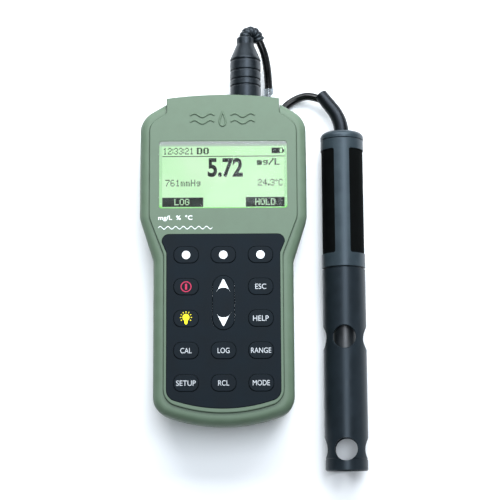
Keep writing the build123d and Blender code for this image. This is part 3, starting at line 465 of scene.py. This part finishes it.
def circle(x, y, radius, steps=40, start=0.0, end=2 * pi):
    count = steps if end - start >= 2 * pi else steps + 1
    return [(x + radius * cos(start + (end - start) * i / steps),
             y + radius * sin(start + (end - start) * i / steps))
            for i in range(count)]


keyPrints = {"columns": (-20.5, 0.0, 20.5), "rows": (1.3, -16.4, -34.0, -51.6, -69.3), "letterHeight": 2.9}
left, middle, right = keyPrints["columns"]
for nodeName, column in (("soft_key_left", left), ("soft_key_middle", middle), ("soft_key_right", right)):
    inkFilm(nodeName + "_dot", outlines("dot", [circle(column, keyPrints["rows"][0], 2.3)]), nodeName,
            nodeName,
            inks["whiteInk"])

legends = {  # node: text, column, row, width of the printed word
    "escape_key": ("ESC", right, 1, 6.0), "help_key": ("HELP", right, 2, 8.6),
    "calibrate_key": ("CAL", left, 3, 6.2), "log_key": ("LOG", middle, 3, 6.5), "range_key": ("RANGE", right,
                                                                                              3, 11.0),
    "setup_key": ("SETUP", left, 4, 10.7), "recall_key": ("RCL", middle, 4, 5.9), "mode_key": ("MODE", right,
                                                                                               4, 9.3),
}
for nodeName, (text, column, row, wide) in legends.items():
    height = keyPrints["letterHeight"]
    y = keyPrints["rows"][row]
    inkFilm(nodeName + "_legend", word(text), nodeName, nodeName, inks["greyInk"],
            fit=(column - wide / 2, column + wide / 2, y - height / 2, y + height / 2))

powerMark = {"x": left, "y": -16.4, "ring": 3.0, "line": 0.55, "bar": (1.1, 3.2)}
x, y, (barWide, barTall) = powerMark["x"], powerMark["y"], powerMark["bar"]
inkFilm("power_key_mark", outlines("power", [
    circle(x, y, powerMark["ring"], 56), circle(x, y, powerMark["ring"] - powerMark["line"], 56),
    [(x - barWide / 2, y - barTall / 2), (x + barWide / 2, y - barTall / 2),
     (x + barWide / 2, y + barTall / 2), (x - barWide / 2, y + barTall / 2)]]),
    "power_key", "power_key", inks["crimsonInk"])

lampMark = {"x": left, "y": -33.3, "bulb": 1.9, "neck": 0.75, "foot": 3.9, "ray": (2.55, 3.3),
            "rayWide": 0.42, "rays": 9, "firstRay": -32, "rayStep": 30.5, "opening": 0.55, "footRise": 0.4,
            "footHalf": 0.35}
x, y = lampMark["x"], lampMark["y"]
bulb = circle(x, y, lampMark["bulb"], 40, -pi / 2 + lampMark["opening"], 1.5 * pi - lampMark["opening"])
footLow, footHalf = y - lampMark["foot"], lampMark["footHalf"]
footTop = footLow + lampMark["footRise"]
foot = [(x - lampMark["neck"], footTop), (x - footHalf, footLow), (x + footHalf, footLow),
        (x + lampMark["neck"], footTop)]
rays = []
for turn in range(lampMark["rays"]):
    angle = radians(lampMark["firstRay"] + turn * lampMark["rayStep"])
    along, across = Vector((cos(angle), sin(angle))), Vector((-sin(angle),
                                                              cos(angle))) * lampMark["rayWide"] / 2
    near, far = along * lampMark["ray"][0], along * lampMark["ray"][1]
    rays.append([(x + p.x, y + p.y) for p in (near - across, far - across, far + across, near + across)])
inkFilm("light_key_mark", outlines("lamp", [bulb + foot] + rays), "light_key", "light_key",
        inks["yellowInk"])

arrowMark = {"up": -16.0, "down": -34.5, "half": (3.85, 3.7), "hollow": 2.7,
             "hollowWide": 0.93, "hollowEase": 0.8, "blunt": (0.45, 0.3), "steps": 16}
halfWide, halfTall = arrowMark["half"]
bluntWide, bluntTall = arrowMark["blunt"]
for label, sign in (("up", 1), ("down", -1)):
    y = arrowMark[label]
    hollow = [(halfWide * cos(a) * arrowMark["hollowWide"],
               y + sign * (-halfTall + arrowMark["hollow"] * sin(a) ** arrowMark["hollowEase"]))
              for a in [pi * i / arrowMark["steps"] for i in range(1, arrowMark["steps"])]]
    shape = [(halfWide, y - sign * halfTall), (bluntWide, y + sign * (halfTall - bluntTall)),
             (0.0, y + sign * halfTall), (-bluntWide, y + sign * (halfTall - bluntTall)),
             (-halfWide, y - sign * halfTall)]
    inkFilm("rocker_" + label, outlines(label, [shape + hollow[::-1]]), "arrow_rocker", "arrow_rocker",
            inks["whiteInk"])
print("key prints made")

# the display's picture, drawn dot by dot
dotLetters = {
    "*": ".#. #.# .#. ... ... ... ...",
    ".": ".. .. .. .. .. ## ##",
    "/": "....# ....# ...#. ..#.. .#... #.... #....",
    "1": "..#.. .##.. ..#.. ..#.. ..#.. ..#.. .###.",
    "2": ".###. #...# ....# ..##. .#... #.... #####",
    "3": ".###. #...# ....# ..##. ....# #...# .###.",
    "4": "...#. ..##. .#.#. #..#. ##### ...#. ...#.",
    "6": ".###. #.... #.... ####. #...# #...# .###.",
    "7": "##### ....# ...#. ..#.. ..#.. .#... .#...",
    ":": ". # # . # # .",
    "C": ".###. #...# #.... #.... #.... #...# .###.",
    "D": "####. #...# #...# #...# #...# #...# ####.",
    "G": ".###. #...# #.... #.### #...# #...# .###.",
    "H": "#...# #...# #...# ##### #...# #...# #...#",
    "L": "#.... #.... #.... #.... #.... #.... #####",
    "O": ".###. #...# #...# #...# #...# #...# .###.",
    "g": "..... ..... .#### #...# .#### ....# .###.",
    "m": "..... ..... ##.#. #.#.# #.#.# #.#.# #.#.#",
}


dotGrid = {"rows": 7, "gap": 0.04}  # rows to a letter, and the glass left at each side of a row


def dotWord(text, low, high, left, right, bold=False):
    # rectangles of a line of dot letters: each row's lit dots run together, a hair of glass between rows
    columns, cells = 0, []
    for letter in text:
        rows = dotLetters[letter].split()
        for row, dots in enumerate(rows):
            lit = [d == "#" for d in dots] + [False]
            if bold:
                lit = [lit[i] or (i > 0 and lit[i - 1]) for i in range(len(lit))] + [False]
            start = None
            for i, on in enumerate(lit):
                if on and start is None:
                    start = i
                if not on and start is not None:
                    cells.append((columns + start, columns + i, row))
                    start = None
        columns += len(rows[0]) + 1 + bold
    wide, tall = (right - left) / (columns - 1), (high - low) / dotGrid["rows"]
    return [(left + a * wide, left + b * wide, high - (row + 1 - dotGrid["gap"]) * tall,
             high - (row + dotGrid["gap"]) * tall)
            for a, b, row in cells]


def dotMesh(name, boxes, level, thick, finish):
    shape = bmesh.new()
    for x0, x1, y0, y1 in boxes:
        made = bmesh.ops.create_cube(shape, size=1.0)["verts"]
        bmesh.ops.scale(shape, vec=((x1 - x0) * mm, (y1 - y0) * mm, thick), verts=made)
        bmesh.ops.translate(shape, vec=((x0 + x1) / 2 * mm, (y0 + y1) / 2 * mm, level + thick / 2),
                            verts=made)
    mesh = bpy.data.meshes.new(name)
    shape.to_mesh(mesh)
    shape.free()
    return addPiece(name, mesh, "meter", finish)


displaySetup = {
    "ink": 0.02, "pale": 0.03, "weight": 0.034, "digits": (-8.7, 11.0, 46.2, 57.3),
    "bars": [(-34.1, 34.3, 58.0, 58.45), (-34.1, -11.2, 29.35, 34.7), (12.6, 34.3, 29.35, 34.8)],
    "texts": [("12:33:21", 59.4, 63.2, -33.7, -16.6), ("DO", 59.4, 63.2, -14.8, -8.0, True),
              ("mg/L", 53.2, 57.0, 18.9, 31.6, True), ("761mmHg", 41.1, 44.9, -32.4, -12.8),
              ("24.3*C", 41.3, 45.1, 19.4, 33.3)],
    "battery": [(27.2, 31.8, 59.8, 63.0), (31.8, 33.1, 62.6, 63.0), (31.8, 33.1, 59.8, 60.2),
                (33.1, 33.5, 59.8, 63.0), (33.5, 34.2, 60.6, 62.2)],
    "labels": [("LOG", 30.4, 34.0, -27.3, -19.0), ("HOLD", 30.4, 34.0, 17.85, 29.05)],
}
cellTop = heightOn(surfaceOf("lcd_panel"), 0.0, displaySetup["digits"][2] * mm)
boxes = displaySetup["bars"] + [box for text in displaySetup["texts"] for box in dotWord(*text)]
dotMesh("lcdDots", boxes + displaySetup["battery"], cellTop, displaySetup["ink"] * mm, inks["segmentInk"])
dotMesh("lcdLabelDots", [box for text in displaySetup["labels"] for box in dotWord(*text)],
        cellTop + displaySetup["ink"] * mm, (displaySetup["pale"] - displaySetup["ink"]) * mm,
        inks["paleSegment"])
inkFilm("lcdReading", word("5.72", displaySetup["weight"]), "lcd_panel", "meter",
        inks["segmentInk"],
        film=displaySetup["ink"], fit=displaySetup["digits"])
print("display drawn")

# raised water motif on the head: two ripples on each side of a drop, in the case's own plastic
motifSetup = {"middle": (-0.2, 78.6), "drop": (2.5, 4.2), "ripples": (4.6, 18.0), "rows": (-1.9, 1.9),
              "swing": 1.0,
              "waves": 1.5, "line": 0.55, "rise": 0.6, "steps": 40, "dropSteps": 44, "pinch": 1.6}
steps, dropSteps = motifSetup["steps"], motifSetup["dropSteps"]
middleX, middleY = motifSetup["middle"]
lines = []
for side in (-1, 1):
    for row in motifSetup["rows"]:
        near, far = motifSetup["ripples"]
        lines.append(([(middleX + side * (near + (far - near) * i / steps),
                        middleY + row + motifSetup["swing"] * sin(2 * pi * motifSetup["waves"] * i / steps))
                       for i in range(steps + 1)], False))
dropWide, dropTall = motifSetup["drop"]
lines.append(([(middleX + dropWide * sin(a) * sin(a / 2) ** motifSetup["pinch"], middleY + dropTall * cos(a))
               for a in [2 * pi * i / dropSteps for i in range(dropSteps)]], True))
motifCurve = bpy.data.curves.new("motif", "CURVE")
motifCurve.dimensions = "3D"
motifCurve.bevel_depth = motifSetup["line"]
motifCurve.bevel_resolution = 4
motifCurve.use_fill_caps = True
for points, closed in lines:
    line = motifCurve.splines.new("POLY")
    line.points.add(len(points) - 1)
    for point, (x, y) in zip(line.points, points):
        point.co = (x, y, 0, 1)
    line.use_cyclic_u = closed
holder = bpy.data.objects.new("motif", motifCurve)
bpy.context.scene.collection.objects.link(holder)
bpy.context.view_layer.update()
motifMesh = bpy.data.meshes.new_from_object(holder.evaluated_get(bpy.context.evaluated_depsgraph_get()))
bpy.data.objects.remove(holder)
panelTop = surfaceOf("front_shell")
for vertex in motifMesh.vertices:
    x, y, z = vertex.co
    vertex.co = (x * mm, y * mm, heightOn(panelTop, x * mm,
                                          y * mm) + z / motifSetup["line"] * motifSetup["rise"] * mm)
for face in motifMesh.polygons:
    face.use_smooth = True
addPiece("headMotif", motifMesh, "meter", finishes["case_plastic"])

# white print under the window: the units that the meter reads, and a ripple line
panelPrint = {"units": (-35.9, -17.0, 20.3, 23.6), "ripple": (-35.9, -6.0, 16.6), "swing": 0.75, "waves": 7,
              "line": 0.2,
              "weight": 0.012, "steps": 112}
inkFilm("unitsPrint", word("mg/L  %  °C", panelPrint["weight"]), "front_shell", "meter",
        inks["whiteInk"],
        fit=panelPrint["units"])
start, end, level = panelPrint["ripple"]
steps = panelPrint["steps"]
wave = [(start + (end - start) * i / steps,
         level + panelPrint["swing"] * sin(2 * pi * panelPrint["waves"] * i / steps))
        for i in range(steps + 1)]
inkFilm("ripplePrint", outlines("ripple", [[(x, y + panelPrint["line"]) for x, y in wave]
                                           + [(x, y - panelPrint["line"]) for x, y in wave[::-1]]]),
        "front_shell", "meter", inks["whiteInk"])
print("panel prints made")

# floor and light
floorSetup = {"half": 4.0, "drop": 0.02, "colour": "FBFCFC"}
floorMesh = bpy.data.meshes.new("floor")
half, level = floorSetup["half"], cadBox[0].z - floorSetup["drop"] * mm
floorMesh.from_pydata([(-half, -half, level), (half, -half, level), (half, half, level), (-half, half,
                                                                                          level)], [],
                      [(0, 1, 2, 3)])
floorMesh.materials.append(makeFinish("pressedCard", {  # smooth white card
    "colour": floorSetup["colour"], "deep": "F7F9F9", "mottle": 60.0, "grain": 3.0, "depth": 0.01,
    "rough": (0.75, 0.85), "shader": {"Specular IOR Level": 0.1}}))
floor = bpy.data.objects.new("floor", floorMesh)
bpy.context.scene.collection.objects.link(floor)

lightSetup = {  # place, point looked at, size and power of each softbox
    "keyBox": ((0.05, 0.42, 0.38), (0.03, 0.06, 0.0), (0.75, 0.30), 6.6, "F6FAFF"),
    "overheadBox": ((0.15, 0.18, 1.35), (0.06, 0.0, 0.0), (0.46, 1.2), 17.0, "EEF5FF"),
    "sideBox": ((0.95, -0.05, 0.30), (0.05, 0.0, 0.02), (0.25, 0.9), 0.8, "EAF3FF"),
}
for name, (place, target, size, power, colour) in lightSetup.items():
    data = bpy.data.lights.new(name, "AREA")
    data.shape = "RECTANGLE"
    data.size, data.size_y = size
    data.energy = power
    data.color = toLinear(colour)[:3]
    light = bpy.data.objects.new(name, data)
    bpy.context.scene.collection.objects.link(light)
    light.location = place
    light.rotation_euler = (Vector(target) - Vector(place)).to_track_quat("-Z", "Y").to_euler()
worldSetup = {"colour": "F4F8FB", "strength": 0.15}
world = bpy.data.worlds.new("studio")
world.use_nodes = True
world.node_tree.nodes["Background"].inputs["Color"].default_value = toLinear(worldSetup["colour"])
world.node_tree.nodes["Background"].inputs["Strength"].default_value = worldSetup["strength"]
bpy.context.scene.world = world
print("stage lit")
